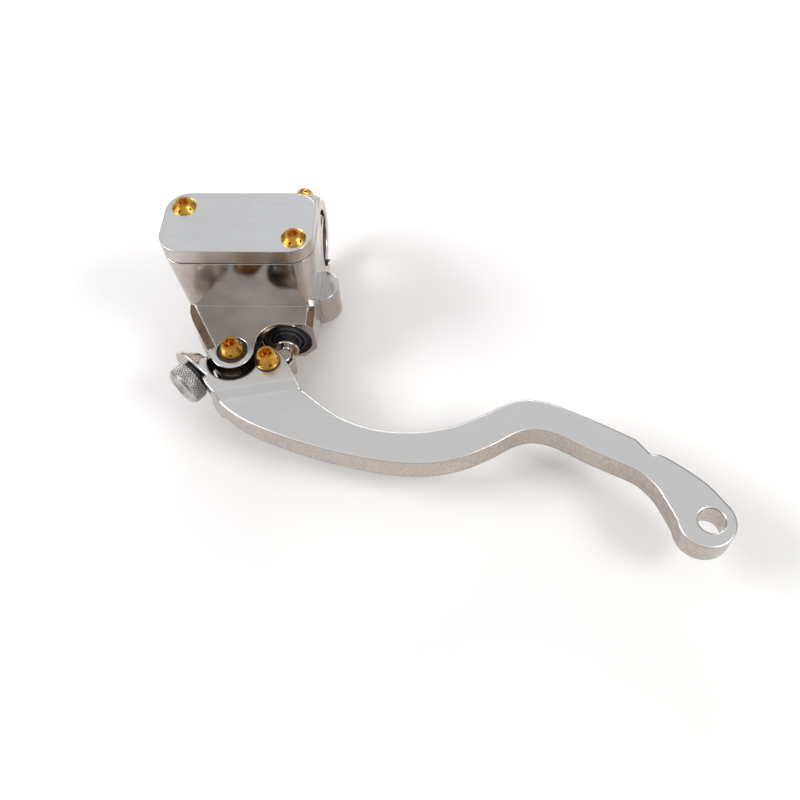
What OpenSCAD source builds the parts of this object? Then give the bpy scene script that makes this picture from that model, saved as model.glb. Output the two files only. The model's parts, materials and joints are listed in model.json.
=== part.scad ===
// Radial brake master cylinder for a motorcycle, with a built-in reservoir and an adjustable lever.
// Origin: centre of the handlebar bore. +X along the bar to the lever tip, -Y to the lever, +Z up.

/* [Handlebar clamp] */
// Handlebar diameter
bar_d = 22.2; // [21.8:0.1:22.4]
// Width of the clamp half on the body
clamp_w = 13.6; // [13:0.1:14]
// Distance from the bar centre to each clamp bolt
clamp_bolt_z = 17; // [16.8:0.1:17.5]
// Width of the separate clamp cap
cap_w = 10.6; // [10:0.1:11]
// Gap between the two clamp halves
split_gap = 0.5; // [0.3:0.1:0.8]
// Thickness of the cap's ears under the bolt heads
ear_t = 2.2; // [2:0.1:3]

/* [Reservoir] */
// Width of the lid along the bar
lid_w = 52; // [51:0.5:53]
// Depth of the lid from the lever side to the bar side
lid_depth = 27; // [26.5:0.25:27.5]
// Corner radius of the lid
lid_r = 8; // [7:0.5:9]
// Thickness of the lid
lid_t = 5.6; // [5:0.2:6]
// Height of the joint face above the bar centre
joint_z = 29; // [28.5:0.25:29.5]
// Thickness of the rubber diaphragm's rim
rim_t = 0.6; // [0.5:0.1:0.8]
// Height of the floor inside the reservoir
floor_z = 9.5; // [9:0.25:10]
// Distance from the lid's sides to each lid screw
screw_inset = 6.2; // [6:0.1:6.5]

/* [Cylinder] */
// Bore of the cylinder
piston_d = 14; // [13.8:0.1:14.2]
// Radial clearance of the piston in the bore
piston_play = 0.05; // [0.03:0.01:0.08]
// Height of the cylinder axis and of the lever's middle plane
axis_z = -2.5; // [-2.6:0.1:-2.4]
// Distance from the pivot to the pushrod across the bore
pushrod_offset = 16.6; // [16.5:0.1:16.8]
// Diameter of the recess that holds the dust boot
recess_d = 17.6; // [17.4:0.1:17.8]

/* [Pivot] */
// Height of the top face of the body and of the pivot lug
deck_z = 7; // [6.9:0.1:7.1]
// Radius of the round end of the pivot lugs
lug_r = 7.5; // [7.3:0.1:7.6]
// Gap between the two pivot lugs
lug_gap = 9; // [8.9:0.1:9.1]
// Radius of the shank of the pivot bolt
pivot_r = 3; // [2.9:0.05:3.1]

/* [Lever] */
// Height of the flat top of the lever blade
blade_top = 3; // [2.8:0.1:3.2]
// Thickness of the lever blade
blade_t = 9; // [8.5:0.25:9.5]
// Height of the raised top around the pivot pocket
knuckle_top = 5.6; // [5.4:0.1:5.8]
// Diameter of the hole in the lever tip
tip_hole_d = 8.5; // [8:0.25:9]
// Thickness of the link between the lugs
link_t = 8.2; // [8:0.1:8.4]

/* [Reach adjuster] */
// Diameter of the knurled knob
knob_d = 14.2; // [13.8:0.2:14.6]
// Length of the knob
knob_t = 5.6; // [5.2:0.2:6]
// Direction of the adjuster's axis, from +X towards +Y
knob_angle = 50; // [49:0.5:51]

/* [Bolts] */
// Largest diameter of a tapered bolt head
head_d = 8.3; // [8:0.1:8.5]
// Height of a tapered bolt head
head_h = 4.4; // [4.2:0.1:4.6]
// Largest diameter of a lid screw's head
lid_head_d = 8.4; // [8:0.1:8.6]
// Height of a lid screw's head
lid_head_h = 1.9; // [1.8:0.1:2.4]
// Width across the flats of the hexagon socket
hex_af = 4; // [3.8:0.1:4.2]
// Radius of the M5 shanks
m5_r = 2.5; // [2.4:0.05:2.5]

/* [Hidden] */

$fn = 64;
eps = 0.02;
fit = 0.05;
fine = 96;

hex_depth = 2.4;

// Places across the model
pivot = [-20, -58.5];
side_x = clamp_w / 2;
lid_x = side_x + 2 - lid_w / 2;
lid_front = -38.9;
lid_y = lid_front + lid_depth / 2;
lid_z = joint_z + rim_t;
piston_x = pivot[0] + pushrod_offset;
lug_bottom = axis_z - lug_gap / 2;
body_bottom = 2 * axis_z - deck_z;
boss_front = pivot[1] + 11.5;
slot_back = pivot[1] + 10.5;
chamfer = 3;
ledge_left = -38.6;
foot_z = -2;

// Inside of the reservoir and of the lid
cavity_w = 40;
cavity_depth = 20;
cavity_r = 4.5;
screw_boss_r = 4.6;
lid_screw_r = 1.65;

// Cylinder, along +Y from the mouth
recess_depth = 6.2;
bore_front = boss_front + recess_depth;
bore_end = -14.5;
circlip_y = bore_front + 0.6;
circlip_t = 1;
piston_front = circlip_y + circlip_t + 0.1;
piston_len = 15.5;
nose_len = 1.5;
piston_back = piston_front + piston_len;
seal_w = 2.4;
rear_seal_at = 1;
front_seal_at = 11;
groove_d = piston_d - 4;
nose_r = 2.4;
spring_start = piston_back - nose_len + 0.4;
spring_len = bore_end - spring_start - 0.1;
spring_turns = 4;
spring_wire = 0.5;
spring_coil_r = 4.6;

// Outlet port, pointing down beside the blind end of the cylinder
port = [5.4, -21];
port_boss_r = 7.4;
port_r = 4.5;
port_bottom = -16;
port_len = 7.6;

// Link, seen from the pivot
hinge = [12.7, -3.6];
barrel = [16.6, 2];
barrel_r = 2.9;
barrel_screw_r = 1.5;
barrel_head_d = 6;
bush_r = 4.4;
link_end_r = 3.9;
rod_r = 2;
flange_r = 4.6;
flange_t = 1.5;
shank_r = 4.1;
tip_r = 2.9;
rod_len = 17.3;
open_gap = 0.3;

// Lever outlines, seen from the pivot
tip = [153.6, -59];
tip_r_out = 8.8;
tip_hole = [155, -58.8];
groove_angle = -40;
pocket = [0.3, -2.5];
pocket_r = 9;
cheek_r = 5.5;
cheek_t = 4;
rear_edge = [[25, -13.3], [33, -20], [41, -25.2], [51, -28.6], [61, -29.4], [70, -28.5], [78.5, -26.2],
             [87, -22], [93.5, -18.2], [99, -16.2], [106, -16.7], [114, -19.9], [124, -24.8], [135, -30.8]];
notch = [[139.3, -36.4], [142.6, -36.6], [149, -41], [155.6, -46.8], [160.3, -53.3]];
tip_arc = [for (a = [34 : -6 : -170]) tip + tip_r_out * [cos(a), sin(a)]];
front_edge = [[144.6, -58.4], [142.4, -53], [140, -48], [136, -43.2], [131.4, -40.4], [121, -35.3],
              [110, -29.2], [103, -27.6], [97, -29], [90, -33.3], [81.4, -37.7], [73, -40.2],
              [65.8, -41], [55.3, -40.5], [43.5, -38.4], [31.5, -35.3], [19, -31.1], [8.5, -26.6],
              [1, -21.8], [-4, -17], [-8, -12]];

// Adjuster, seen from the pivot
knob_dir = [cos(knob_angle), sin(knob_angle)];
knob_side = [-sin(knob_angle), cos(knob_angle)];
knob_in = [-14.8, -5.8];
lobe_r = 8.8;
lobe_shift = 2.2;
screw_r = 2.5;
screw_start = -2.2;
pad_at = 10.2;
pad_gap = 0.25;
screw_tip = 0.8;
screw_len = pad_at - pad_gap - screw_start;
socket_depth = 3;
washer_t = 1.4;

// A smooth curve through points p, with n steps between neighbours
function bend(p, i) = p[max(0, min(len(p) - 1, i))];
function curve(p, n) = [
    for (i = [0 : len(p) - 2], k = [0 : n - 1])
        let (t = k / n, a = bend(p, i - 1), b = p[i], c = p[i + 1], d = bend(p, i + 2))
        0.5 * (2 * b + (c - a) * t + (2 * a - 5 * b + 4 * c - d) * t * t + (3 * b - a - 3 * c + d) * t * t * t),
    p[len(p) - 1]];

// Moves its children from the pivot's frame to the model's frame
module at_pivot() translate([pivot[0], pivot[1], 0]) children();
// Turns a shape that stands along +Z so that it lies along +Y, with its base at y
module along_y(x, y, z) translate([x, y, z]) rotate([-90, 0, 0]) children();
// Turns a shape along +Z so that it follows the adjuster's axis, s mm from the knob's inner face
module along_knob(s) at_pivot() translate([knob_in[0] + s * knob_dir[0], knob_in[1] + s * knob_dir[1], axis_z])
    rotate([0, 90, knob_angle]) children();

// Rectangle of size w by d centred on [x, y], with corner radius r
module round_rect(x, y, w, d, r) translate([x, y]) {
    square([w - 2 * r, d], center = true);
    square([w, d - 2 * r], center = true);
    for (sx = [-1, 1], sy = [-1, 1])
        translate([sx * (w / 2 - r), sy * (d / 2 - r)]) circle(r);
}
// Rounded slab between two heights
module slab(z0, z1) translate([0, 0, z0]) linear_extrude(z1 - z0) children();
// Plain ring on +Z
module ring(outer, inner, t) difference() {
    cylinder(r = outer, h = t);
    translate([0, 0, -eps]) cylinder(r = inner, h = t + 2 * eps);
}
// Tapered bolt head that stands on z = 0, with a hexagon socket
module bolt_head(d = head_d, h = head_h) difference() {
    union() {
        cylinder(d = d, h = 0.8);
        translate([0, 0, 0.8]) cylinder(d1 = d, d2 = d * 0.72, h = h - 0.8);
    }
    translate([0, 0, h - hex_depth]) cylinder(d = hex_af * d / head_d / cos(30), h = 3, $fn = 6);
}
// Bolt with its head on z = 0 and its shank down to -l
module bolt(r, l) {
    bolt_head();
    translate([0, 0, -l]) cylinder(r = r, h = l + eps);
}
// Places its children at the two diagonal lid screws
module lid_screw_places() for (s = [-1, 1])
    translate([lid_x + s * (lid_w / 2 - screw_inset), lid_y - s * (lid_depth / 2 - screw_inset), 0]) children();
// Places its children at the two clamp bolts, along +Y
module clamp_bolt_places(y) for (s = [-1, 1]) along_y(0, y, s * clamp_bolt_z) children();

// Outline of the body seen from above: reservoir foot, left slope, pivot lug and bore boss
module body_plan() at_pivot() difference() {
    union() {
        circle(lug_r);
        polygon([[-18.6, 21], [-18.6, 18.2], [-17.1, 14.6], [-6.45, -3.85], [0, 0], [lug_r, 0], [lug_r, 3.5],
                 [pushrod_offset, 3.5], [pushrod_offset, 11.5], [side_x - pivot[0], 11.5],
                 [side_x - pivot[0], 44.5], [-18.6, 44.5]]);
    }
    // Round opening above the pushrod, where the lever's knuckle swings
    translate([pushrod_offset - 1, 3.6]) circle(7.9);
    translate([pushrod_offset - 1, -6]) square([14, 17.5]);
}
// The wedge that cuts the long chamfer on the body's left slope
module slope_cut() at_pivot() translate([-17.1, 14.6, deck_z - chamfer])
    rotate([0, 0, -60]) rotate([45, 0, 0]) translate([-14, 0, 0]) cube([31, 9, 9]);
// Cuts a 45 degree chamfer of width c along the right edge of the bore boss; s is 1 above, -1 below
module boss_chamfer(s, c, len) translate([side_x, boss_front - 1, s > 0 ? deck_z : body_bottom])
    rotate([0, 45, 0]) translate([-c * sin(45), 0, -c * sin(45)]) cube([2 * c * sin(45), len, 2 * c * sin(45)]);

module reservoir_shell() {
    hull() {
        slab(joint_z - 1, joint_z) round_rect(lid_x, lid_y, lid_w, lid_depth, lid_r, $fn = 32);
        slab(deck_z - 6, deck_z - 5) round_rect((ledge_left - 0.8 + side_x) / 2, lid_y,
            side_x - ledge_left + 0.8, lid_depth, 5, $fn = 32);
    }
}
module reservoir_cavity() difference() {
    slab(floor_z, joint_z + 1) round_rect(lid_x + 0.3, lid_y - 0.4, cavity_w, cavity_depth, cavity_r);
    lid_screw_places() translate([0, 0, floor_z - 1]) cylinder(r = screw_boss_r, h = joint_z);
}
module clamp_half() difference() {
    union() {
        translate([-side_x, -26, -14]) cube([clamp_w, 26 - split_gap / 2, 28]);
        translate([-side_x, -13, -22.3]) cube([clamp_w, 13 - split_gap / 2, 44.6]);
        translate([-side_x, -26, 0]) cube([clamp_w, 20, joint_z - 1]);
    }
    for (s = [-1, 1]) translate([side_x + 4.6, -6.5, s * clamp_bolt_z]) rotate([-90, 0, 0])
        cylinder(r = 6.6, h = 10);
    clamp_bolt_places(-11) cylinder(r = m5_r + fit, h = 12);
}
module outlet_boss() translate([port[0], port[1], port_bottom])
    cylinder(r = port_boss_r, h = axis_z - port_bottom);

module cylinder_body() color("silver") difference() {
    union() {
        difference() {
            slab(body_bottom, deck_z) body_plan();
            slope_cut();
            boss_chamfer(1, 2.5, 9);
            boss_chamfer(-1, 5, 17);
        }
        reservoir_shell();
        clamp_half();
        outlet_boss();
    }
    // Handlebar, reservoir and cylinder bores
    translate([-60, 0, 0]) rotate([0, 90, 0]) cylinder(d = bar_d, h = 120, $fn = fine);
    reservoir_cavity();
    along_y(piston_x, boss_front - 5, axis_z) cylinder(d = piston_d, h = bore_end - boss_front + 5);
    along_y(piston_x, boss_front - 5, axis_z) cylinder(d = recess_d, h = 5 + recess_depth);
    along_y(piston_x, circlip_y, axis_z) cylinder(d = piston_d + 1.6, h = circlip_t);
    // Inlet and timing holes from the reservoir floor
    translate([piston_x, piston_front + 9.9, axis_z]) cylinder(r = 0.8, h = floor_z - axis_z + 1, $fn = 24);
    translate([piston_x, piston_front + 13.9, axis_z]) cylinder(r = 0.5, h = floor_z - axis_z + 1, $fn = 24);
    // Outlet port and its cross drilling
    translate([port[0], port[1], port_bottom - 1]) cylinder(r = port_r, h = port_len + 1);
    translate([piston_x + 5, port[1], port_bottom + 3]) cylinder(r = 1.2, h = axis_z - port_bottom - 3, $fn = 24);
    // Slot for the link, lug holes and the seat of the pivot bolt's head
    at_pivot() {
        translate([-30, -20, lug_bottom]) cube([30 + pushrod_offset, slot_back - pivot[1] + 20, lug_gap]);
        translate([0, 0, body_bottom - 1]) cylinder(r = pivot_r + fit, h = deck_z - body_bottom + 2);
        translate([0, 0, deck_z - 1.2]) cylinder(r = 5.4, h = 2);
    }
    lid_screw_places() translate([0, 0, joint_z - 12]) cylinder(r = lid_screw_r + fit, h = 13);
    // The foot of the body under the reservoir's left end is open
    translate([-60, slot_back + 7, body_bottom - 1]) cube([60 + piston_x - piston_d / 2 - 4.5, 60, foot_z - body_bottom + 1]);
}

module reservoir_lid() color("silver") difference() {
    slab(lid_z, lid_z + lid_t) round_rect(lid_x, lid_y, lid_w, lid_depth, lid_r);
    slab(lid_z - 1, lid_z + 2.6) difference() {
        round_rect(lid_x + 0.3, lid_y - 0.4, cavity_w, cavity_depth, cavity_r);
        lid_screw_places() circle(screw_boss_r);
    }
    lid_screw_places() translate([0, 0, lid_z - 1]) cylinder(r = lid_screw_r + 0.15, h = lid_t + 2);
}

module diaphragm() color("black") difference() {
    union() {
        slab(joint_z, lid_z) round_rect(lid_x, lid_y, lid_w - 0.6, lid_depth - 0.6, lid_r - 0.3);
        slab(joint_z - 7, joint_z + eps) round_rect(lid_x, lid_y, 26, 18, 4);
    }
    slab(joint_z - 6, lid_z + 1) round_rect(lid_x, lid_y, 24, 16, 3);
    lid_screw_places() translate([0, 0, joint_z - 1]) cylinder(r = 1.9, h = 3);
}

// Low tapered head, with a smaller hexagon socket
module lid_screws() color("goldenrod") lid_screw_places() translate([0, 0, lid_z + lid_t]) {
    difference() {
        union() {
            cylinder(d = lid_head_d, h = 0.4);
            translate([0, 0, 0.4]) cylinder(d1 = lid_head_d, d2 = lid_head_d * 0.64, h = lid_head_h - 0.4);
        }
        translate([0, 0, lid_head_h - 1.4]) cylinder(d = hex_af * 0.85 / cos(30), h = 3, $fn = 6);
    }
    translate([0, 0, -15]) cylinder(r = lid_screw_r, h = 15 + eps);
}

module clamp_cap() color("silver") difference() {
    union() {
        rotate([0, 90, 0]) translate([0, 0, -cap_w / 2]) cylinder(d = bar_d + 8, h = cap_w, $fn = fine);
        translate([-cap_w / 2, 0, -clamp_bolt_z - 4.2]) cube([cap_w, ear_t, 2 * clamp_bolt_z + 8.4]);
    }
    translate([-20, 0, 0]) rotate([0, 90, 0]) cylinder(d = bar_d, h = 40, $fn = fine);
    translate([-20, split_gap / 2 - 40, -40]) cube([40, 40, 80]);
    clamp_bolt_places(-1) cylinder(r = m5_r + 0.2, h = 10);
    clamp_bolt_places(ear_t) cylinder(r = head_d / 2 + 0.35, h = 10);
}

module clamp_bolts() color("goldenrod") for (s = [-1, 1])
    translate([0, ear_t, s * clamp_bolt_z]) rotate([-90, 0, 0]) bolt(m5_r, 12);

module pivot_bolt() color("goldenrod") at_pivot()
    translate([0, 0, deck_z - 1.2 + 0.8]) bolt(pivot_r, deck_z - 0.4 - body_bottom + 4.4);

module pivot_washer() color("black") at_pivot()
    translate([0, 0, deck_z - 1.2]) ring(5.2, pivot_r + fit, 0.8);

module pivot_lock_nut() color("goldenrod") at_pivot() difference() {
    translate([0, 0, body_bottom - 3.6]) cylinder(d = 9 / cos(30), h = 3.6, $fn = 6);
    translate([0, 0, body_bottom - 5]) cylinder(r = pivot_r, h = 6);
}

module pivot_bush() color("darkgoldenrod") at_pivot()
    translate([0, 0, axis_z - link_t / 2]) ring(bush_r, pivot_r + fit, link_t);

module thrust_washers() color("black") at_pivot() for (z = [axis_z - lug_gap / 2, axis_z + link_t / 2 + 0.05])
    translate([0, 0, z]) ring(6.4, pivot_r + fit, (lug_gap - link_t) / 2 - 0.05);

// Outline of the link: pivot eye, hinge eye, pushrod end and the pad that meets the adjuster
module link_plan() difference() {
    union() {
        circle(6.8);
        translate(hinge) circle(4.9);
        translate(barrel) circle(link_end_r);
        polygon([[0, -6.8], [12, -8.4], [17.2, -5.4], [21, 0.4], [12.5, 4], [5.5, 4.4], [0, 6.8]]);
        translate(knob_in) rotate(knob_angle) translate([pad_at - 2, -3]) square([8, 5.8]);
    }
    circle(bush_r);
    translate(hinge) circle(m5_r + fit);
    translate(barrel) circle(barrel_r + fit);
    translate(barrel + [-5.2, 0.7]) square([12, 10]);
    // Notch for the adjuster's rod, wider towards the pivot, where the rod swings
    translate(knob_in) rotate(knob_angle) translate([-5, -3.6]) square([5 + pad_at, 6.8]);
}
module lever_link() color("dimgray") at_pivot()
    slab(axis_z - link_t / 2, axis_z + link_t / 2) link_plan();

// Outlines of the lever
module blade_plan()
    polygon(concat(curve(rear_edge, 5), curve(notch, 4), tip_arc, curve(front_edge, 5), [[4, -13]]));
module knuckle_plan() {
    translate(hinge) circle(cheek_r);
    polygon([[-11.5, -2.6], [-10.5, -8.4], [-7.4, -13.2], [-4, -17], [1, -21.8], [8.5, -26.6], [27, -22],
             [25, -13.3], [17.6, -1.2], [12.7, 1.9], [8, 0], [-7, -1]]);
}
module pocket_plan() {
    translate(pocket) circle(pocket_r);
    translate(pocket - [pocket_r, 0]) square([2 * pocket_r, 20]);
}
// Room for the link between the lever's cheeks
module link_slot() slab(axis_z - link_t / 2 - 0.2, axis_z + link_t / 2 + 0.2) {
    translate(hinge) circle(cheek_r + 0.3);
    polygon([[0, -9.4], [hinge[0], hinge[1] - cheek_r - 0.3], [19.5, -7.4], [30, 4], [24, 14], [0, 14]]);
}
// Wedges that slope the raised knuckle down to the blade, above and below
module ramp_cuts() translate([24.2, -10.1, 0]) rotate([0, 0, 12]) {
    translate([-40, 0, knuckle_top]) rotate([45, 0, 0]) translate([0, -20, 0]) cube([60, 20, 20]);
}
module lobe() translate([knob_in[0] + (washer_t + 0.3) * knob_dir[0] + lobe_shift * knob_side[0],
                         knob_in[1] + (washer_t + 0.3) * knob_dir[1] + lobe_shift * knob_side[1], axis_z])
    rotate([0, 90, knob_angle]) {
        cylinder(r = lobe_r, h = 1);
        translate([0, 0, 1]) cylinder(r1 = lobe_r, r2 = lobe_r - 4.2, h = 4.6);
    }
// The part of the plan beyond the breakaway groove
module beyond_groove() translate(notch[0]) rotate(groove_angle) translate([0, -30]) square([50, 40]);
module lever() color("lightgray") difference() {
    at_pivot() difference() {
        union() {
            slab(blade_top - blade_t, blade_top) difference() {
                blade_plan();
                beyond_groove();
            }
            difference() {
                slab(2 * axis_z - knuckle_top, knuckle_top) knuckle_plan();
                ramp_cuts();
                translate([0, 0, 2 * axis_z]) mirror([0, 0, 1]) ramp_cuts();
            }
            lobe();
        }
        slab(-20, 20) pocket_plan();
        link_slot();
        translate(barrel) translate([0, 0, -20]) cylinder(r = barrel_head_d / 2 + 0.7, h = 20 + axis_z);
        translate(hinge) translate([0, 0, -20]) cylinder(r = m5_r + fit, h = 40);
    }
    along_knob(-1) cylinder(r = screw_r + 0.1, h = 20);
    along_knob(-9) cylinder(r = 11, h = 9 + washer_t + 0.3);
}
// The drilled tip is one piece with the lever; the two meet at the breakaway groove
module lever_tip() color("lightgray") at_pivot() difference() {
    slab(blade_top - blade_t, blade_top) intersection() {
        blade_plan();
        beyond_groove();
    }
    translate(tip_hole) translate([0, 0, -20]) cylinder(d = tip_hole_d, h = 40);
}

module hinge_bolt() color("goldenrod") at_pivot() translate(hinge)
    translate([0, 0, knuckle_top + 0.5]) bolt(m5_r, 2 * (knuckle_top - axis_z) + 4.4);
module hinge_washer() color("black") at_pivot() translate(hinge)
    translate([0, 0, knuckle_top]) ring(head_d / 2 + 0.25, m5_r + fit, 0.5);
module hinge_nut() color("goldenrod") at_pivot() translate(hinge) difference() {
    translate([0, 0, 2 * axis_z - knuckle_top - 3.4]) cylinder(d = 8 / cos(30), h = 3.4, $fn = 6);
    translate([0, 0, 2 * axis_z - knuckle_top - 5]) cylinder(r = m5_r, h = 6);
}

module pushrod_barrel() color("silver") at_pivot() translate(barrel) difference() {
    translate([0, 0, axis_z - link_t / 2]) cylinder(r = barrel_r, h = link_t);
    along_y(0, 0, axis_z) cylinder(r = rod_r, h = 10);
    translate([0, 0, axis_z - link_t / 2 - 1]) cylinder(r = barrel_screw_r, h = 2.5);
}
module barrel_screw() color("goldenrod") at_pivot() translate(barrel)
    translate([0, 0, axis_z - link_t / 2]) mirror([0, 0, 1]) {
        translate([0, 0, 0.3]) bolt_head(barrel_head_d, 3.4);
        translate([0, 0, -1.5]) cylinder(r = barrel_screw_r, h = 1.9);
    }

module pushrod() color("silver") at_pivot() along_y(barrel[0], barrel[1], axis_z) {
    cylinder(r = rod_r, h = 6);
    translate([0, 0, 5]) cylinder(r = flange_r, h = flange_t);
    translate([0, 0, 6]) cylinder(r = shank_r, h = 4.6);
    translate([0, 0, 10]) cylinder(r = 2, h = rod_len - 10);
    translate([0, 0, rod_len - 0.6]) sphere(tip_r - 0.3);
}

// Piston with a cup for the pushrod, two seal grooves and a nose for the spring
module piston() color("silver") along_y(piston_x, piston_front, axis_z) difference() {
    union() {
        difference() {
            cylinder(r = piston_d / 2 - piston_play, h = piston_len - nose_len);
            translate([0, 0, rear_seal_at]) ring(piston_d, groove_d / 2, seal_w);
            translate([0, 0, rear_seal_at + seal_w + 0.8]) ring(piston_d, groove_d / 2 + 0.8, 6);
            translate([0, 0, front_seal_at]) ring(piston_d, groove_d / 2, seal_w);
        }
        translate([0, 0, piston_len - nose_len - 0.1]) cylinder(r = nose_r, h = nose_len + 0.1);
    }
    translate([0, 0, -1]) cylinder(r = tip_r + open_gap, h = 3.2);
}
module seal(s) along_y(piston_x, piston_front + s, axis_z)
    ring(piston_d / 2 - 0.02, groove_d / 2, seal_w - 0.2);
module primary_seal() color("black") seal(front_seal_at + 0.1);
module secondary_seal() color("black") seal(rear_seal_at + 0.1);

// Return spring, drawn as the rings of its turns
module return_spring() color("gray") along_y(piston_x, spring_start, axis_z) for (k = [0 : spring_turns])
    translate([0, 0, spring_wire + k * (spring_len - 2 * spring_wire) / spring_turns])
        rotate_extrude($fn = 48) translate([spring_coil_r, 0]) circle(spring_wire, $fn = 16);
module spring_seat() color("silver") along_y(piston_x, piston_back - nose_len, axis_z)
    ring(5.6, nose_r, 0.4);
module piston_circlip() color("gray") along_y(piston_x, circlip_y + 0.05, axis_z) difference() {
    ring(piston_d / 2 + 0.75, piston_d / 2 - 1.4, circlip_t - 0.1);
    translate([-1.6, 0, -1]) cube([3.2, 12, 4]);
}
// Rubber boot, with a bead in the recess and a lip on the pushrod
module dust_boot() color("black") along_y(piston_x, boss_front, axis_z) difference() {
    union() {
        translate([0, 0, 0.4]) cylinder(r = recess_d / 2 - fit, h = recess_depth - 0.7);
        translate([0, 0, -0.8]) cylinder(r1 = 5.6, r2 = 7.6, h = 1.3);
    }
    translate([0, 0, -3]) cylinder(r = shank_r + 0.05, h = 5.5);
    translate([0, 0, 2.4]) cylinder(r = 6.2, h = 6);
}

module adjuster_screw() color("black") along_knob(screw_start) rotate_extrude()
    polygon([[0, 0], [screw_r, 0], [screw_r, screw_len - screw_tip], [screw_r - screw_tip, screw_len], [0, screw_len]]);
module adjuster_knob() color("silver") difference() {
    along_knob(-knob_t) union() {
        cylinder(d1 = knob_d - 1.6, d2 = knob_d, h = 0.8);
        translate([0, 0, 0.8]) cylinder(d = knob_d, h = knob_t - 1.2);
        translate([0, 0, knob_t - 0.4]) cylinder(d1 = knob_d, d2 = knob_d - 0.8, h = 0.4);
    }
    along_knob(-socket_depth) cylinder(r = screw_r + fit, h = socket_depth + 1);
}
module adjuster_washer() color("black") along_knob(0.05) ring(6, screw_r + 0.1, washer_t);

cylinder_body();
reservoir_lid();
diaphragm();
lid_screws();
clamp_cap();
clamp_bolts();
pivot_bolt();
pivot_washer();
pivot_lock_nut();
pivot_bush();
thrust_washers();
lever_link();
lever();
lever_tip();
hinge_bolt();
hinge_washer();
hinge_nut();
pushrod_barrel();
barrel_screw();
pushrod();
piston();
primary_seal();
secondary_seal();
return_spring();
spring_seat();
piston_circlip();
dust_boot();
adjuster_screw();
adjuster_knob();
adjuster_washer();
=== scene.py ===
# %% [markdown]
# # A radial brake master cylinder
# The unit clamps on a motorcycle's handlebar. A hinged lever pushes a small piston, and the box
# on top holds the brake fluid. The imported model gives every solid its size, place and body. This
# lesson gives the pieces their worked edges, knurls, threads and finishes, and lights them.

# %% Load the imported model
import json
import math
from contextlib import contextmanager

import bmesh
import bpy
from mathutils import Matrix, Vector


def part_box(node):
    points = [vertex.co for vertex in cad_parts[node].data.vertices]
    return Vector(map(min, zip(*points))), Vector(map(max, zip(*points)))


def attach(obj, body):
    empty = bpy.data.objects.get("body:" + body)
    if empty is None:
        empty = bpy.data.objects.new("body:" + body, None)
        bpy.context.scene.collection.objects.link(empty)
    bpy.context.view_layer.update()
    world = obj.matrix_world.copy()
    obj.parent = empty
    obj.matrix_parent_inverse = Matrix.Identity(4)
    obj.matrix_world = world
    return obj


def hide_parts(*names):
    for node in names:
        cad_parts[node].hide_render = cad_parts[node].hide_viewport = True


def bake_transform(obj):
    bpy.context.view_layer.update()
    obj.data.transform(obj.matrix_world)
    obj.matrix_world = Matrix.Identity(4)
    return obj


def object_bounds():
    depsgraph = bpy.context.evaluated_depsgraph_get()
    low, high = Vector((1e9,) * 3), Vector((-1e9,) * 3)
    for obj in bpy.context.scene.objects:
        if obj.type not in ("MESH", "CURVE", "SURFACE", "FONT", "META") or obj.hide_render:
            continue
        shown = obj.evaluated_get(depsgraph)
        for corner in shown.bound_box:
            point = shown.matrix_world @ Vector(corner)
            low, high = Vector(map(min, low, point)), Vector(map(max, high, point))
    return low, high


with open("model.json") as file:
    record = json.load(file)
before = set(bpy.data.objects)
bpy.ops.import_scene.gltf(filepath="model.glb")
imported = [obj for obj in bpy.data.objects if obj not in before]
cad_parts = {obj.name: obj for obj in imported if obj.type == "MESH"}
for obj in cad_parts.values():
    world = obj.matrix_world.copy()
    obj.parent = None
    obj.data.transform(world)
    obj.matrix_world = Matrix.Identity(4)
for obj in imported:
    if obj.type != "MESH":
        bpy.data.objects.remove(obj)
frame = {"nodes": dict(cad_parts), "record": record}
cad_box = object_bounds()
MM = 0.001

# %% [markdown]
# ## The camera
# The unit is seen from above and in front, a little tilted. A camera can be aimed with angles or
# with a constraint. Three axis directions are used here, because they also hold the small roll.

# %% Set the camera
sight_right = Vector((0.99784, 0.04680, -0.04594))
sight_up = Vector((-0.01406, 0.83694, 0.54707))
sight_back = Vector((0.06405, -0.54525, 0.83580))
lens_data = bpy.data.cameras.new("camera")
lens_data.lens, lens_data.sensor_width = 40.5, 36.0
lens_data.clip_start = 0.01
camera = bpy.data.objects.new("camera", lens_data)
turn = Matrix((sight_right, sight_up, sight_back)).transposed().to_4x4()
camera.matrix_world = Matrix.Translation((0.0579, -0.2394, 0.2543)) @ turn
bpy.context.scene.collection.objects.link(camera)
bpy.context.scene.camera = camera
print("camera", round((camera.location.length) / MM), "mm from the handlebar bore")

# %% [markdown]
# ## Shader maths as expressions
# A finish is built from many small nodes. Each could be placed and linked by hand. One class
# wraps a socket, so that adding or multiplying two wires adds the Math node, and a finish reads
# like a formula.

# %% Wrap a socket and a material
class Wire:
    """One output socket. Arithmetic on it adds Math nodes."""

    def __init__(self, finish, socket):
        self.finish, self.socket = finish, socket

    def maths(self, operation, first, second=None):
        values = {0: first} if second is None else {0: first, 1: second}
        return self.finish.node("Math", {"operation": operation}, values)[0]

    def __add__(self, other):
        return self.maths("ADD", self, other)

    def __sub__(self, other):
        return self.maths("SUBTRACT", self, other)

    def __rsub__(self, other):
        return self.maths("SUBTRACT", other, self)

    def __mul__(self, other):
        return self.maths("MULTIPLY", self, other)

    __radd__ = __add__


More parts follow.
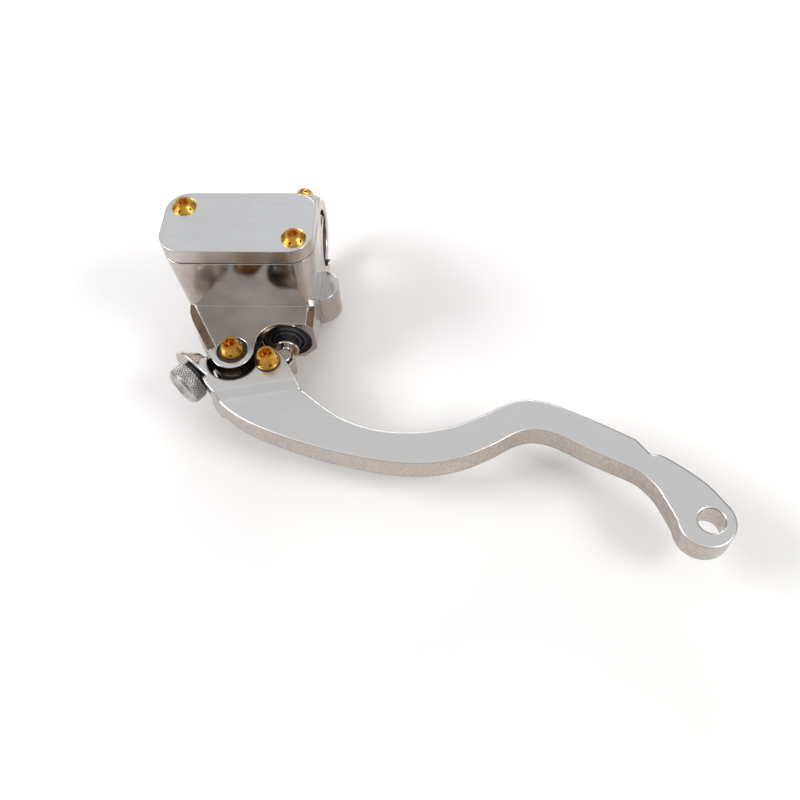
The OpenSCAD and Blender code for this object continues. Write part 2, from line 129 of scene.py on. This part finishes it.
class Finish:
    """A material under construction, around one Principled shader."""

    def __init__(self, name, **uniform):
        self.material = bpy.data.materials.new(name)
        self.material.use_nodes = True
        self.tree = self.material.node_tree
        self.shader = next(n for n in self.tree.nodes if n.type == "BSDF_PRINCIPLED")
        for socket, value in uniform.items():
            self.shader.inputs[socket.replace("_", " ")].default_value = value

    def node(self, kind, settings=None, sockets=None):
        """Adds a node, sets its settings and then its sockets, and returns its output wires."""
        made = self.tree.nodes.new("ShaderNode" + kind)
        for key, value in (settings or {}).items():
            if key == "stops":
                for spot, (place, colour) in enumerate(value):
                    ramp = made.color_ramp.elements
                    stop = ramp[spot] if spot < len(ramp) else ramp.new(place)
                    stop.position, stop.color = place, colour
            else:
                setattr(made, key, value)
        for key, value in (sockets or {}).items():
            if isinstance(value, Wire):
                self.tree.links.new(value.socket, made.inputs[key])
            else:
                made.inputs[key].default_value = value
        return [Wire(self, out) for out in made.outputs]

    def feed(self, socket, wire):
        self.tree.links.new(wire.socket, self.shader.inputs[socket])

    def place(self, stretch=(1, 1, 1)):
        """Object coordinates, in metres, multiplied by stretch."""
        spot = self.node("TexCoord")[3]
        return self.node("Mapping", {}, {"Vector": spot, "Scale": stretch})[0]

    def noise(self, scale, detail=3.0, stretch=(1, 1, 1), rough=0.55):
        values = {"Vector": self.place(stretch), "Scale": scale, "Detail": detail,
                  "Roughness": rough}
        return self.node("TexNoise", {}, values)[0]

    def spread(self, wire, low, high):
        """Maps 0.3-0.7, where noise mostly lies, to low-high."""
        values = {"Value": wire, "From Min": 0.3, "From Max": 0.7, "To Min": low, "To Max": high}
        return self.node("MapRange", {}, values)[0]

    def blend(self, mask, first, second):
        """Mixes two colours, each a wire or four numbers."""
        mixer = self.tree.nodes.new("ShaderNodeMix")
        mixer.data_type = "RGBA"
        for key, value in (("Factor", mask), ("A", first), ("B", second)):
            kind = "VALUE" if key == "Factor" else "RGBA"
            socket = next(s for s in mixer.inputs if s.name == key and s.type == kind)
            if isinstance(value, Wire):
                self.tree.links.new(value.socket, socket)
            else:
                socket.default_value = value
        return Wire(self, next(s for s in mixer.outputs if s.type == "RGBA"))

    def relief(self, height, depth, edge=0.0):
        """Bumps the surface by height times depth in metres. edge is the radius in metres of the
        soft light along each edge, as a wheel leaves it."""
        values = {"Height": height, "Distance": depth}
        if edge:
            values["Normal"] = self.node("Bevel", {"samples": 8}, {"Radius": edge})[0]
        self.feed("Normal", self.node("Bump", {}, values)[0])

    def facing_up(self):
        """1 where the surface faces straight up, 0 where it is upright."""
        normal = self.node("TexCoord")[1]
        return self.node("SeparateXYZ", {}, {0: normal})[2]


print("shader helpers ready")

# %% [markdown]
# ## Polished aluminium
# The body and lid are billet aluminium, polished on a wheel by hand. Polish leaves a mirror with
# faint streaks and soft haze. Noise gives the haze, and a stretched noise the wheel's streaks.
# The upright faces get a warm brownish painted reflection in their base colour, and faces on a
# slant a peach painted reflection; each share follows how far the face looks up.

# %% Mix the polished finish
PLATE_EDGE, LEVER_EDGE, BOLT_EDGE = 4.5e-4, 1.1e-3, 1.8e-4
# Colours of painted reflections: warm brown for upright polished faces, peach for faces on a slant.
BROWN_PAINTED_REFLECTION = (0.37, 0.295, 0.245, 1.0)
PEACH_PAINTED_REFLECTION = (0.93, 0.73, 0.53, 1.0)


def polished_finish(name, colour, haze, streak, wave):
    finish = Finish(name, Metallic=1.0)
    up = finish.facing_up()
    # Share of the warm brown painted reflection: the more upright the face, the more it gets.
    upright = 1 - finish.node("MapRange", {}, {"Value": up, "From Min": 0.1, "From Max": 0.6})[0]
    none, full = (0, 0, 0, 1), (1, 1, 1, 1)
    # A band of peach painted reflection on faces that lie on a slant.
    sloping = [(0.58, none), (0.66, full), (0.78, full), (0.9, none)]
    slope = finish.node("ValToRGB", {"stops": sloping}, {"Fac": up})[0]
    cloud = finish.spread(finish.noise(90.0, 4.0), 0.0, 1.0)
    lines = finish.spread(finish.noise(420.0, 3.0, streak), 0.0, 1.0)
    dull = tuple(c * 0.88 for c in colour[:3]) + (1.0,)
    metal = finish.blend(cloud * 0.5 + lines * 0.3, colour, dull)
    # The peach painted reflection is mixed into the base colour on that band.
    peach_reflected = finish.blend(slope * 0.75, metal, PEACH_PAINTED_REFLECTION)
    # The warm brown painted reflection goes on upright faces, its amount varied by noise.
    finish.feed("Base Color", finish.blend(upright * (0.62 + cloud * 0.3), peach_reflected, BROWN_PAINTED_REFLECTION))
    finish.feed("Roughness", haze + cloud * haze * 0.5 + lines * 0.04)
    finish.relief(cloud * 0.8 + lines * 0.12, wave, PLATE_EDGE)
    return finish.material


polished = polished_finish(
    "polished aluminium", (0.80, 0.80, 0.80, 1.0), 0.10, (0.25, 1, 1), 1.2e-5)
lid_polish = polished_finish("lid polish", (0.86, 0.87, 0.88, 1.0), 0.17, (0.12, 1, 1), 3e-6)
print("mixed", polished.name, "and", lid_polish.name)

# %% [markdown]
# ## The lever's two finishes
# The lever is flat and satin on top and polished round the sides, where an abrasive belt left
# fine lines along its length. One finish serves both: the share of satin follows how far the face
# looks up. The upright sides also take a warm brown painted reflection in their colour.

# %% Mix the lever finish
lever_finish = Finish("lever aluminium", Metallic=1.0)
up = lever_finish.facing_up()
flat_share = lever_finish.node("MapRange", {}, {"Value": up, "From Min": 0.9, "From Max": 0.995})[0]
haze = lever_finish.spread(lever_finish.noise(60.0, 4.0), 0.0, 1.0)
belt = lever_finish.spread(lever_finish.noise(900.0, 4.0, (0.08, 1.0, 1.0)), 0.0, 1.0)
cross = lever_finish.spread(lever_finish.noise(1500.0, 3.0, (1.0, 0.10, 0.4)), 0.0, 1.0)
lever_tone = lever_finish.blend(
    haze * 0.6 + belt * 0.3, (0.80, 0.80, 0.795, 1.0), (0.72, 0.715, 0.70, 1.0))
# The lever's upright sides take the warm brown painted reflection in their base colour.
side_reflection_share = 1 - lever_finish.node("MapRange", {}, {
    "Value": up, "From Min": 0.05, "From Max": 0.7})[0]
lever_finish.feed("Base Color", lever_finish.blend(
    side_reflection_share * (0.55 + cross * 0.35), lever_tone, BROWN_PAINTED_REFLECTION))
lever_finish.feed("Roughness", 0.15 + flat_share * 0.11 + haze * 0.05 + belt * 0.06 + cross * 0.03)
lever_finish.relief(belt * 0.3 + cross * (1 - flat_share) * 0.35 + haze * 0.5, 1.4e-5, LEVER_EDGE)
lever_metal = lever_finish.material
print("mixed", lever_metal.name)

# %% [markdown]
# ## Gold bolts and the darker metals
# The bolts are turned from aluminium and dyed gold. Dye gathers in tool marks, so the colour runs
# from straw to brown and the tiny turned grooves catch light. The knob, rods and springs are
# barer metals.

# %% Mix the small metal finishes
def turned_finish(name, light, dark, roughness, metallic=1.0, grain=1400.0, depth=1.5e-5):
    finish = Finish(name, Metallic=metallic)
    tone = finish.spread(finish.noise(260.0, 3.0), 0.0, 1.0)
    marks = finish.spread(finish.noise(grain, 3.0, (1.0, 1.0, 6.0)), 0.0, 1.0)
    finish.feed("Base Color", finish.blend(tone * 0.7 + marks * 0.3, light, dark))
    finish.feed("Roughness", roughness + tone * 0.08 + marks * 0.06)
    finish.relief(marks, depth, BOLT_EDGE)
    return finish.material


gold = turned_finish("gold anodising", (0.80, 0.46, 0.09, 1), (0.46, 0.22, 0.035, 1), 0.20)
knob_metal = turned_finish(
    "bare knob aluminium", (0.60, 0.59, 0.58, 1), (0.30, 0.285, 0.27, 1), 0.28)
black_metal = turned_finish(
    "black anodising", (0.028, 0.028, 0.032, 1), (0.012, 0.012, 0.014, 1), 0.34, 0.55)
bronze = turned_finish("bush bronze", (0.62, 0.42, 0.19, 1), (0.42, 0.27, 0.11, 1), 0.30)
steel = turned_finish("bright steel", (0.62, 0.62, 0.64, 1), (0.40, 0.40, 0.42, 1), 0.24)
piston_metal = turned_finish("machined piston", (0.74, 0.74, 0.76, 1), (0.58, 0.58, 0.61, 1), 0.22)
print("mixed six turned finishes")

# %% [markdown]
# ## Rubber and nylon
# The boot, seals and diaphragm are moulded rubber: nearly black, with a dusty bloom and a fine
# pebble. The thin washers are nylon, smoother and a little shinier.

# %% Mix the black soft finishes
def moulded_finish(name, roughness, bloom, grain):
    finish = Finish(name)
    dust = finish.spread(finish.noise(220.0, 4.0), 0.0, 1.0)
    pebble = finish.noise(grain, 2.0)
    dusty = (0.018 + bloom, 0.018 + bloom, 0.019 + bloom, 1.0)
    finish.feed("Base Color", finish.blend(dust, (0.012, 0.012, 0.013, 1.0), dusty))
    finish.feed("Roughness", roughness + dust * 0.15)
    finish.relief(pebble, 3e-5)
    return finish.material


rubber = moulded_finish("moulded rubber", 0.42, 0.018, 2400.0)
nylon = moulded_finish("black nylon", 0.34, 0.010, 1500.0)
FINISHES = {
    "polished": polished, "lever_metal": lever_metal, "knob_metal": knob_metal,
    "piston_metal": piston_metal, "gold": gold, "bronze": bronze, "steel": steel,
    "black_anodised": black_metal, "rubber": rubber, "nylon": nylon,
}
print("finishes by slot:", len(FINISHES))

# %% [markdown]
# ## Working by hand, in code
# Blender's editing tools act on what is selected. These helpers stand for the hand: one takes up
# a piece, one opens it for editing, one selects its faces or edges by place or direction.

# %% Define the hand tools
def take(piece):
    bpy.ops.object.select_all(action="DESELECT")
    piece.select_set(True)
    bpy.context.view_layer.objects.active = piece


@contextmanager
def editing(piece):
    take(piece)
    bpy.ops.object.mode_set(mode="EDIT")
    yield piece
    bpy.ops.object.mode_set(mode="OBJECT")


def pick(piece, kind, test):
    """Selects the piece's VERT, EDGE or FACE parts that pass the test, and returns how many."""
    bpy.ops.mesh.select_all(action="DESELECT")
    bpy.ops.mesh.select_mode(type=kind)
    mesh = bmesh.from_edit_mesh(piece.data)
    parts = {"VERT": mesh.verts, "EDGE": mesh.edges, "FACE": mesh.faces}[kind]
    chosen = [part for part in parts if test(part)]
    for part in chosen:
        part.select_set(True)
    bmesh.update_edit_mesh(piece.data)
    return len(chosen)


def apply_modifier(piece, kind, **settings):
    modifier = piece.modifiers.new(kind.lower(), kind)
    for key, value in settings.items():
        setattr(modifier, key, value)
    take(piece)
    bpy.ops.object.modifier_apply(modifier=modifier.name)


def settle(piece, name):
    """Names a new piece and moves its place into its mesh."""
    take(piece)
    bpy.ops.object.transform_apply(location=True, rotation=True, scale=True)
    piece.name = piece.data.name = name
    return piece


def count(piece):
    return sum(len(face.vertices) - 2 for face in piece.data.polygons)


print("hand tools ready")

# %% [markdown]
# ## Breaking the sharp edges
# A real billet part has no knife edge: each is broken by a file or the polishing wheel, and that
# thin round is what shines. The solids have the right shape but sharp edges. A copy is merged
# into flat faces, and a Bevel modifier rounds each edge. This keeps every size and adds the
# highlight.

# %% Define the edge breaker
def copy_of(name, *nodes, seam=None, merge_flat=True):
    """One new object from the CAD nodes, with doubled points merged. seam is a point and a
    direction of the plane where two nodes of one real piece meet; the faces on it are removed.
    merge_flat joins the triangles of each flat face, which a bevel needs."""
    bpy.ops.object.select_all(action="DESELECT")
    copies = []
    for node in nodes:
        twin = bpy.data.objects.new(name, frame["nodes"][node].data.copy())
        bpy.context.scene.collection.objects.link(twin)
        twin.data.materials.clear()
        copies.append(twin)
    for twin in copies:
        twin.select_set(True)
    bpy.context.view_layer.objects.active = copies[0]
    if len(copies) > 1:
        bpy.ops.object.join()
    piece = copies[0]
    with editing(piece):
        bpy.ops.mesh.select_all(action="SELECT")
        bpy.ops.mesh.customdata_custom_splitnormals_clear()
        bpy.ops.mesh.remove_doubles(threshold=0.002 * MM)
        if seam:
            point, way = Vector(seam[0]) * MM, Vector(seam[1]).normalized()
            pick(piece, "FACE", lambda f: abs(f.normal.dot(way)) > 0.999
                 and abs((f.calc_center_median() - point).dot(way)) < 0.01 * MM)
            bpy.ops.mesh.delete(type="FACE")
        if merge_flat:
            bpy.ops.mesh.select_all(action="SELECT")
            bpy.ops.mesh.dissolve_limited(angle_limit=math.radians(0.6))
    return piece


SHARP = 30.0


def smooth(piece, angle=35.0):
    take(piece)
    bpy.ops.object.shade_smooth_by_angle(angle=math.radians(angle))
    apply_modifier(piece, "WEIGHTED_NORMAL", keep_sharp=True, weight=80)


def break_edges(piece, width, segments=3):
    """Rounds every edge sharper than SHARP degrees with a new face width mm wide."""
    mesh = bmesh.new()
    mesh.from_mesh(piece.data)
    weight = mesh.edges.layers.float.new("bevel_weight_edge")
    for edge in mesh.edges:
        if len(edge.link_faces) == 2 and edge.calc_face_angle(0.0) > math.radians(SHARP):
            edge[weight] = 1.0
    mesh.to_mesh(piece.data)
    mesh.free()
    apply_modifier(piece, "BEVEL", width=width * MM, segments=segments, limit_method="WEIGHT",
                   offset_type="WIDTH", loop_slide=False, use_clamp_overlap=False)
    smooth(piece)


def hand_over(piece, body, slot_name, *nodes):
    """Gives a finished piece its material, body and slot, in place of the CAD nodes."""
    piece.data.materials.clear()
    piece.data.materials.append(FINISHES[slot_name])
    if nodes:
        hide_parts(*nodes)
    if body:
        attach(piece, body)
    print(piece.name, "on", body or "two bodies", "-", count(piece), "triangles")
    return piece


print("edge breaker ready")

# %% [markdown]
# ## The clamp cap
# The body, the lid and the cap are milled from plate. The body and the lid have many holes and
# keep their solids as they are, with their edges softened by the finish. The plain cap shows its
# round against the bar, so it is an edge-broken copy.

# %% Break the edges of the cap
cap_piece = copy_of("clamp_half_cap", "clamp_cap")
break_edges(cap_piece, 0.7)
hand_over(cap_piece, "body", "polished", "clamp_cap")

# %% [markdown]
# ## The lever
# The lever and its drilled tip are one milled piece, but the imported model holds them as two
# solids that meet at the breakaway groove. They could be left as two, with a line between them.
# Here they are joined, the two faces inside are removed, and the edges are merged into one skin.

# %% Join the lever
groove = ((119.3, -94.9, 0), (math.cos(math.radians(40)), -math.sin(math.radians(40)), 0))
lever_piece = copy_of("lever_arm", "lever", "lever_tip", seam=groove, merge_flat=False)
smooth(lever_piece, SHARP)
hand_over(lever_piece, "lever", "lever_metal", "lever", "lever_tip")

# %% [markdown]
# ## Gold bolts with lockwire holes
# A race bolt has a tapered head, a hexagon socket and small cross holes for lockwire. The head
# and socket are in the solids. The holes are drilled with a Boolean modifier. The finish softens
# the edges.

# %% Drill and round the bolts
def drill(piece, centre, axis, holes=3, radius=0.5, reach=6.0, first=0.3):
    """Drills cross holes through a bolt head, square to its axis."""
    axis = Vector(axis)
    for step in range(holes):
        across = axis.orthogonal()
        across.rotate(Matrix.Rotation(first + step * math.pi / holes, 3, axis))
        bpy.ops.mesh.primitive_cylinder_add(
            vertices=16, radius=radius * MM, depth=2 * reach * MM, location=Vector(centre),
            rotation=across.to_track_quat("Z", "Y").to_euler())
        cutter = settle(bpy.context.object, "cutter")
        apply_modifier(piece, "BOOLEAN", operation="DIFFERENCE", solver="EXACT", object=cutter)
        bpy.data.objects.remove(cutter)


def middle_of(node):
    low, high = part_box(node)
    return (low + high) / 2


def bolt_piece(name, node, body, heads, axis, first=0.3, bore=0.5):
    piece = copy_of(name, node, merge_flat=False)
    for head in heads:
        drill(piece, head, axis, first=first, radius=bore)
    smooth(piece, SHARP)
    return hand_over(piece, body, "gold", node)


UP = (0, 0, 1)
pivot_mid, hinge_mid = middle_of("pivot_bolt"), middle_of("hinge_bolt")
pivot_head = Vector((pivot_mid.x, pivot_mid.y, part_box("pivot_bolt")[1][2] - 2.5 * MM))
hinge_head = Vector((hinge_mid.x, hinge_mid.y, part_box("hinge_bolt")[1][2] - 2.5 * MM))
bolt_piece("pivot_bolt_drilled", "pivot_bolt", "body", [pivot_head], UP, 0.9)
bolt_piece("hinge_bolt_drilled", "hinge_bolt", "lever", [hinge_head], UP, 0.2)
low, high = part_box("lid_screws")
inset, head_z = 4.2 * MM, high.z - 1.0 * MM
lid_heads = [(low.x + inset, high.y - inset, head_z), (high.x - inset, low.y + inset, head_z)]
bolt_piece("lid_screws_drilled", "lid_screws", "body", lid_heads, UP, 0.6, bore=0.36)
low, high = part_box("clamp_bolts")
bar_heads = [(0, high.y - 2.5 * MM, z) for z in (low.z + inset, high.z - inset)]
bolt_piece("clamp_bolts_drilled", "clamp_bolts", "body", bar_heads, (0, 1, 0), 0.5)
for name, node, body in (("pivot_nut_broken", "pivot_lock_nut", "body"),
                         ("hinge_nut_broken", "hinge_nut", "lever"),
                         ("barrel_screw_broken", "barrel_screw", "pushrod")):
    nut = copy_of(name, node)
    break_edges(nut, 0.28, segments=2)
    hand_over(nut, body, "gold", node)

# %% [markdown]
# ## Link, barrel and pushrod
# The black link hides between the lugs and carries the bright barrel that the pushrod screws
# into. They are small machined pieces, so a fine break on each edge is enough. The link's outer
# end, where the barrel turns, is left bare, so its faces take a second material by their place.

# %% Break the edges of the linkage
for name, node, body, width in (("link_plate", "lever_link", "link", 0.42),
                                ("barrel_pin", "pushrod_barrel", "pushrod", 0.5),
                                ("pushrod_turned", "pushrod", "pushrod", 0.42)):
    piece = copy_of(name, node)
    break_edges(piece, width)
    slot_name = "black_anodised" if node == "lever_link" else "polished"
    hand_over(piece, body, slot_name, node)
    if node == "lever_link":
        piece.data.materials.append(polished)
        bare_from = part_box("pushrod_barrel")[0][0] - 1.5 * MM
        for face in piece.data.polygons:
            face.material_index = 1 if face.center.x > bare_from else 0

# %% [markdown]
# ## Wrapping a grid round a rod
# A knurl and a thread are both patterns on a cylinder. Rows of small cuts would be heavy, and a
# bump would leave the outline plain. A flat grid is rolled up instead, and each point's radius is
# taken from its angle and its place along the rod, so the pattern is real and light.

# %% Define the roller
def rolled(name, around, along, length, radius_at, start, way):
    """A closed rod of length from start along way, with radius_at(turn, share) in mm."""
    bpy.ops.object.select_all(action="DESELECT")
    bpy.ops.mesh.primitive_grid_add(x_subdivisions=around, y_subdivisions=along, size=2)
    piece = bpy.context.object
    for vertex in piece.data.vertices:
        turn, share = (vertex.co.x + 1) / 2, (vertex.co.y + 1) / 2
        radius, angle = radius_at(turn, share) * MM, turn * 2 * math.pi
        vertex.co = (radius * math.cos(angle), radius * math.sin(angle), share * length * MM)
    with editing(piece):
        bpy.ops.mesh.select_all(action="SELECT")
        bpy.ops.mesh.remove_doubles(threshold=0.002 * MM)
        for end in (0.0, length * MM):
            pick(piece, "EDGE", lambda e: e.is_boundary
                 and all(abs(v.co.z - end) < 0.001 * MM for v in e.verts))
            bpy.ops.mesh.edge_face_add()
        bpy.ops.mesh.select_all(action="SELECT")
        bpy.ops.mesh.normals_make_consistent(inside=False)
    piece.location = start
    piece.rotation_euler = Vector(way).to_track_quat("Z", "Y").to_euler()
    return settle(piece, name)


def zigzag(value):
    """A triangle wave from 0 to 1."""
    return 1 - abs(2 * (value % 1.0) - 1)


print("roller ready")

# %% [markdown]
# ## Knurled adjuster knob
# Diamond knurling is two crossed sets of V grooves rolled into the rim, so fingers in gloves can
# turn it. A point on a diamond is as high as the lower of the two crossed waves. The ends stay
# smooth.

# %% Roll the knob
ADJUST = Vector((math.cos(math.radians(50)), math.sin(math.radians(50)), 0.0))
knob_mid = middle_of("adjuster_knob")
KNOB_LEN, KNOB_R, DIAMONDS, ROWS, KNURL = 5.6, 7.1, 38, 4.0, 0.45
KNOB_FACE = 40 * MM * MM


def knob_radius(turn, share):
    """Knurl between two plain chamfered ends."""
    if share < 0.16:
        return KNOB_R - 1.0 + share / 0.16 * 0.75
    if share > 0.94:
        return KNOB_R - 0.25 - (share - 0.94) / 0.06 * 0.45
    height = min(zigzag(DIAMONDS * turn + ROWS * share), zigzag(DIAMONDS * turn - ROWS * share))
    return KNOB_R - KNURL + KNURL * height


knob = rolled("knurled_knob", 304, 34, KNOB_LEN, knob_radius,
              knob_mid - ADJUST * KNOB_LEN / 2 * MM, ADJUST)
with editing(knob):
    pick(knob, "FACE", lambda f: f.normal.dot(ADJUST) < -0.99
         and f.calc_area() > KNOB_FACE)
    bpy.ops.mesh.inset(thickness=1.3 * MM)
    bpy.ops.mesh.inset(thickness=0.25 * MM, depth=-0.35 * MM)
    bpy.ops.mesh.inset(thickness=2.4 * MM)
    bpy.ops.mesh.inset(thickness=0.2 * MM, depth=-0.25 * MM)
take(knob)
bpy.ops.object.shade_smooth_by_angle(angle=math.radians(22))
hand_over(knob, "adjuster_knob", "knob_metal", "adjuster_knob")

# %% [markdown]
# ## Threaded rod
# The knob drives a fine black thread into the link's pad. A thread's crest winds once per pitch,
# so the wave is read at the place along the rod less the share of a turn.

# %% Roll the thread
low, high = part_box("adjuster_screw")
rod_mid, ROD_R, ROD_LEN, PITCH = (low + high) / 2, 2.5, 12.15, 0.8


def thread_radius(turn, share):
    tip = max(0.0, share - 0.93) / 0.07 * 0.8
    crest = zigzag(share * ROD_LEN / PITCH - turn)
    return ROD_R - 0.4 * (1 - crest) - tip


thread = rolled("threaded_rod", 32, 122, ROD_LEN, thread_radius,
                rod_mid - ADJUST * ROD_LEN / 2 * MM, ADJUST)
smooth(thread, 50)
hand_over(thread, "adjuster_rod", "black_anodised", "adjuster_screw")

# %% [markdown]
# ## Turning soft and round pieces
# The boot is round about the cylinder's axis. A lathe profile could be spun. Here a ring is
# extruded step by step and resized, as one would by hand, and the last ring is bridged to the
# first.

# %% Define the lathe
def turned(name, profile, start, way, vertices=64):
    """A piece of revolution through (radius, distance) pairs in mm."""
    bpy.ops.object.select_all(action="DESELECT")
    first = profile[0]
    bpy.ops.mesh.primitive_circle_add(vertices=vertices, radius=first[0] * MM,
                                      location=(0, 0, 0), fill_type="NOTHING")
    piece = bpy.context.object
    with editing(piece):
        bpy.ops.mesh.select_all(action="SELECT")
        bpy.ops.transform.translate(value=(0, 0, first[1] * MM))
        for before, after in zip(profile, profile[1:]):
            bpy.ops.mesh.extrude_edges_move()
            bpy.ops.transform.translate(value=(0, 0, (after[1] - before[1]) * MM))
            scale = after[0] / before[0]
            bpy.ops.transform.resize(value=(scale, scale, 1), center_override=(0, 0, after[1] * MM))
        pick(piece, "EDGE", lambda e: e.is_boundary)
        bpy.ops.mesh.bridge_edge_loops()
        bpy.ops.mesh.select_all(action="SELECT")
        bpy.ops.mesh.normals_make_consistent(inside=False)
    piece.location = start
    piece.rotation_euler = Vector(way).to_track_quat("Z", "Y").to_euler()
    return settle(piece, name)


print("lathe ready")

# %% [markdown]
# ## Dust boot
# The boot keeps grit out of the bore. Its bead sits in the recess, a fold lets it move, and its
# lip grips the pushrod. The bead stays with the body and the lip goes with the piston, so it is
# attached to neither body.

# %% Turn the boot
boot_low, boot_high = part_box("dust_boot")
bore_x, bore_z = (boot_low.x + boot_high.x) / 2, (boot_low.z + boot_high.z) / 2
boot_profile = [
    (8.5, 6.3), (8.7, 5.6), (8.7, 1.6), (8.45, 1.15), (8.0, 1.3), (7.75, 1.9),
    (7.35, 2.1), (7.0, 1.6), (6.75, 0.7), (6.35, 0.35), (6.0, 0.7), (5.8, 1.7),
    (5.5, 1.9), (5.25, 1.4), (5.15, 0.5), (4.9, 0.1), (4.45, 0.05), (4.2, 0.35),
    (4.2, 2.6), (4.6, 2.9), (5.2, 3.0), (6.2, 2.8), (6.6, 1.9), (6.9, 2.7),
    (7.5, 3.1), (7.6, 5.8), (7.9, 6.3),
]
boot = turned("dust_boot_folded", boot_profile, Vector((bore_x, boot_low.y, bore_z)), (0, 1, 0))
apply_modifier(boot, "SUBSURF", levels=1, render_levels=1)
smooth(boot, 60)
hand_over(boot, None, "rubber", "dust_boot")
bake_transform(boot)

# %% [markdown]
# ## Return spring
# The spring pushes the piston back. A wire ring is swept round with the Screw modifier, which
# makes a true coil. One end stays at the cylinder's end, the other goes with the piston.

# %% Wind the spring
low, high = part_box("return_spring")
WIRE_R, COIL_R, TURNS = 0.5, 4.6, 4.5
rise = (high.y - low.y - 2 * WIRE_R * MM) / TURNS
bpy.ops.object.select_all(action="DESELECT")
bpy.ops.mesh.primitive_circle_add(vertices=10, radius=WIRE_R * MM, location=(COIL_R * MM, 0, 0),
                                  rotation=(math.pi / 2, 0, 0))
spring = settle(bpy.context.object, "spring_coil")
apply_modifier(spring, "SCREW", axis="Z", angle=2 * math.pi * TURNS, screw_offset=rise * TURNS,
               steps=int(28 * TURNS), render_steps=int(28 * TURNS))
with editing(spring):
    pick(spring, "EDGE", lambda e: e.is_boundary)
    bpy.ops.mesh.fill()
    bpy.ops.mesh.select_all(action="SELECT")
    bpy.ops.mesh.normals_make_consistent(inside=False)
spring.location = (bore_x, low.y + WIRE_R * MM, bore_z)
spring.rotation_euler = (-math.pi / 2, 0, 0)
settle(spring, "spring_coil")
smooth(spring, 60)
hand_over(spring, None, "steel", "return_spring")
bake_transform(spring)

# %% [markdown]
# ## The plain CAD nodes
# Small hidden pieces already have their true shape. They keep it and only take their finish.

# %% Give every CAD node its finish
for row in frame["record"]["subparts"]:
    node = frame["nodes"][row["node"]]
    node.data.materials.clear()
    plate = row["node"] == "reservoir_lid"
    node.data.materials.append(lid_polish if plate else FINISHES[row["material_slot"]])

# %% [markdown]
# ## Studio
# The unit lies over a plain pale floor under soft light. Polished metal shows its surroundings,
# so a grey room with warm panels low down gives it the tones that a plain white room would wash
# out.

# %% Lay the floor and hang the lights
lowest = cad_box[0][2]
bpy.ops.mesh.primitive_plane_add(size=8.0, location=(0, 0, lowest - 0.0005))
floor = settle(bpy.context.object, "floor")
floor_finish = Finish("pale floor", Roughness=0.7)
grain = floor_finish.noise(3.0, 2.0)
floor_finish.feed("Base Color", floor_finish.blend(
    grain, (0.93, 0.93, 0.93, 1), (0.96, 0.96, 0.96, 1)))
floor.data.materials.append(floor_finish.material)


def hang_light(name, place, target, size, power, colour=(1, 1, 1)):
    data = bpy.data.lights.new(name, "AREA")
    data.shape, data.size, data.size_y = "RECTANGLE", size[0], size[1]
    data.energy, data.color = power, colour
    lamp = bpy.data.objects.new(name, data)
    lamp.location = place
    aim = Vector(target) - Vector(place)
    lamp.rotation_euler = aim.to_track_quat("-Z", "Y").to_euler()
    bpy.context.scene.collection.objects.link(lamp)


centre = (0.05, -0.05, 0.0)
hang_light("key", (-0.75, -0.15, 0.65), centre, (0.45, 0.3), 4.5)
hang_light("fill", (0.75, -0.35, 0.75), centre, (0.4, 0.3), 3.5, (1.0, 0.98, 0.95))
hang_light("back", (0.1, 0.9, 0.35), centre, (0.5, 0.2), 2.0)
world = bpy.data.worlds.new("room")
bpy.context.scene.world = world
world.use_nodes = True
sky = world.node_tree
room = sky.nodes.new("ShaderNodeTexCoord")
split = sky.nodes.new("ShaderNodeSeparateXYZ")
ramp = sky.nodes.new("ShaderNodeValToRGB")
WARM, WOOD, PALE = (0.10, 0.075, 0.055, 1), (0.34, 0.27, 0.21, 1), (0.66, 0.66, 0.67, 1)
bands = ((0.0, WARM), (0.12, WARM), (0.30, WOOD), (0.55, PALE), (1.0, PALE))
for spot, (place, colour) in enumerate(bands):
    stop = ramp.color_ramp.elements[spot] if spot < 2 else ramp.color_ramp.elements.new(place)
    stop.position, stop.color = place, colour
sky.links.new(room.outputs["Generated"], split.inputs[0])
sky.links.new(split.outputs[2], ramp.inputs[0])
sky.links.new(ramp.outputs[0], sky.nodes["Background"].inputs[0])
bpy.context.scene.view_settings.view_transform = "Standard"
print("floor at", round(lowest / MM, 1), "mm")
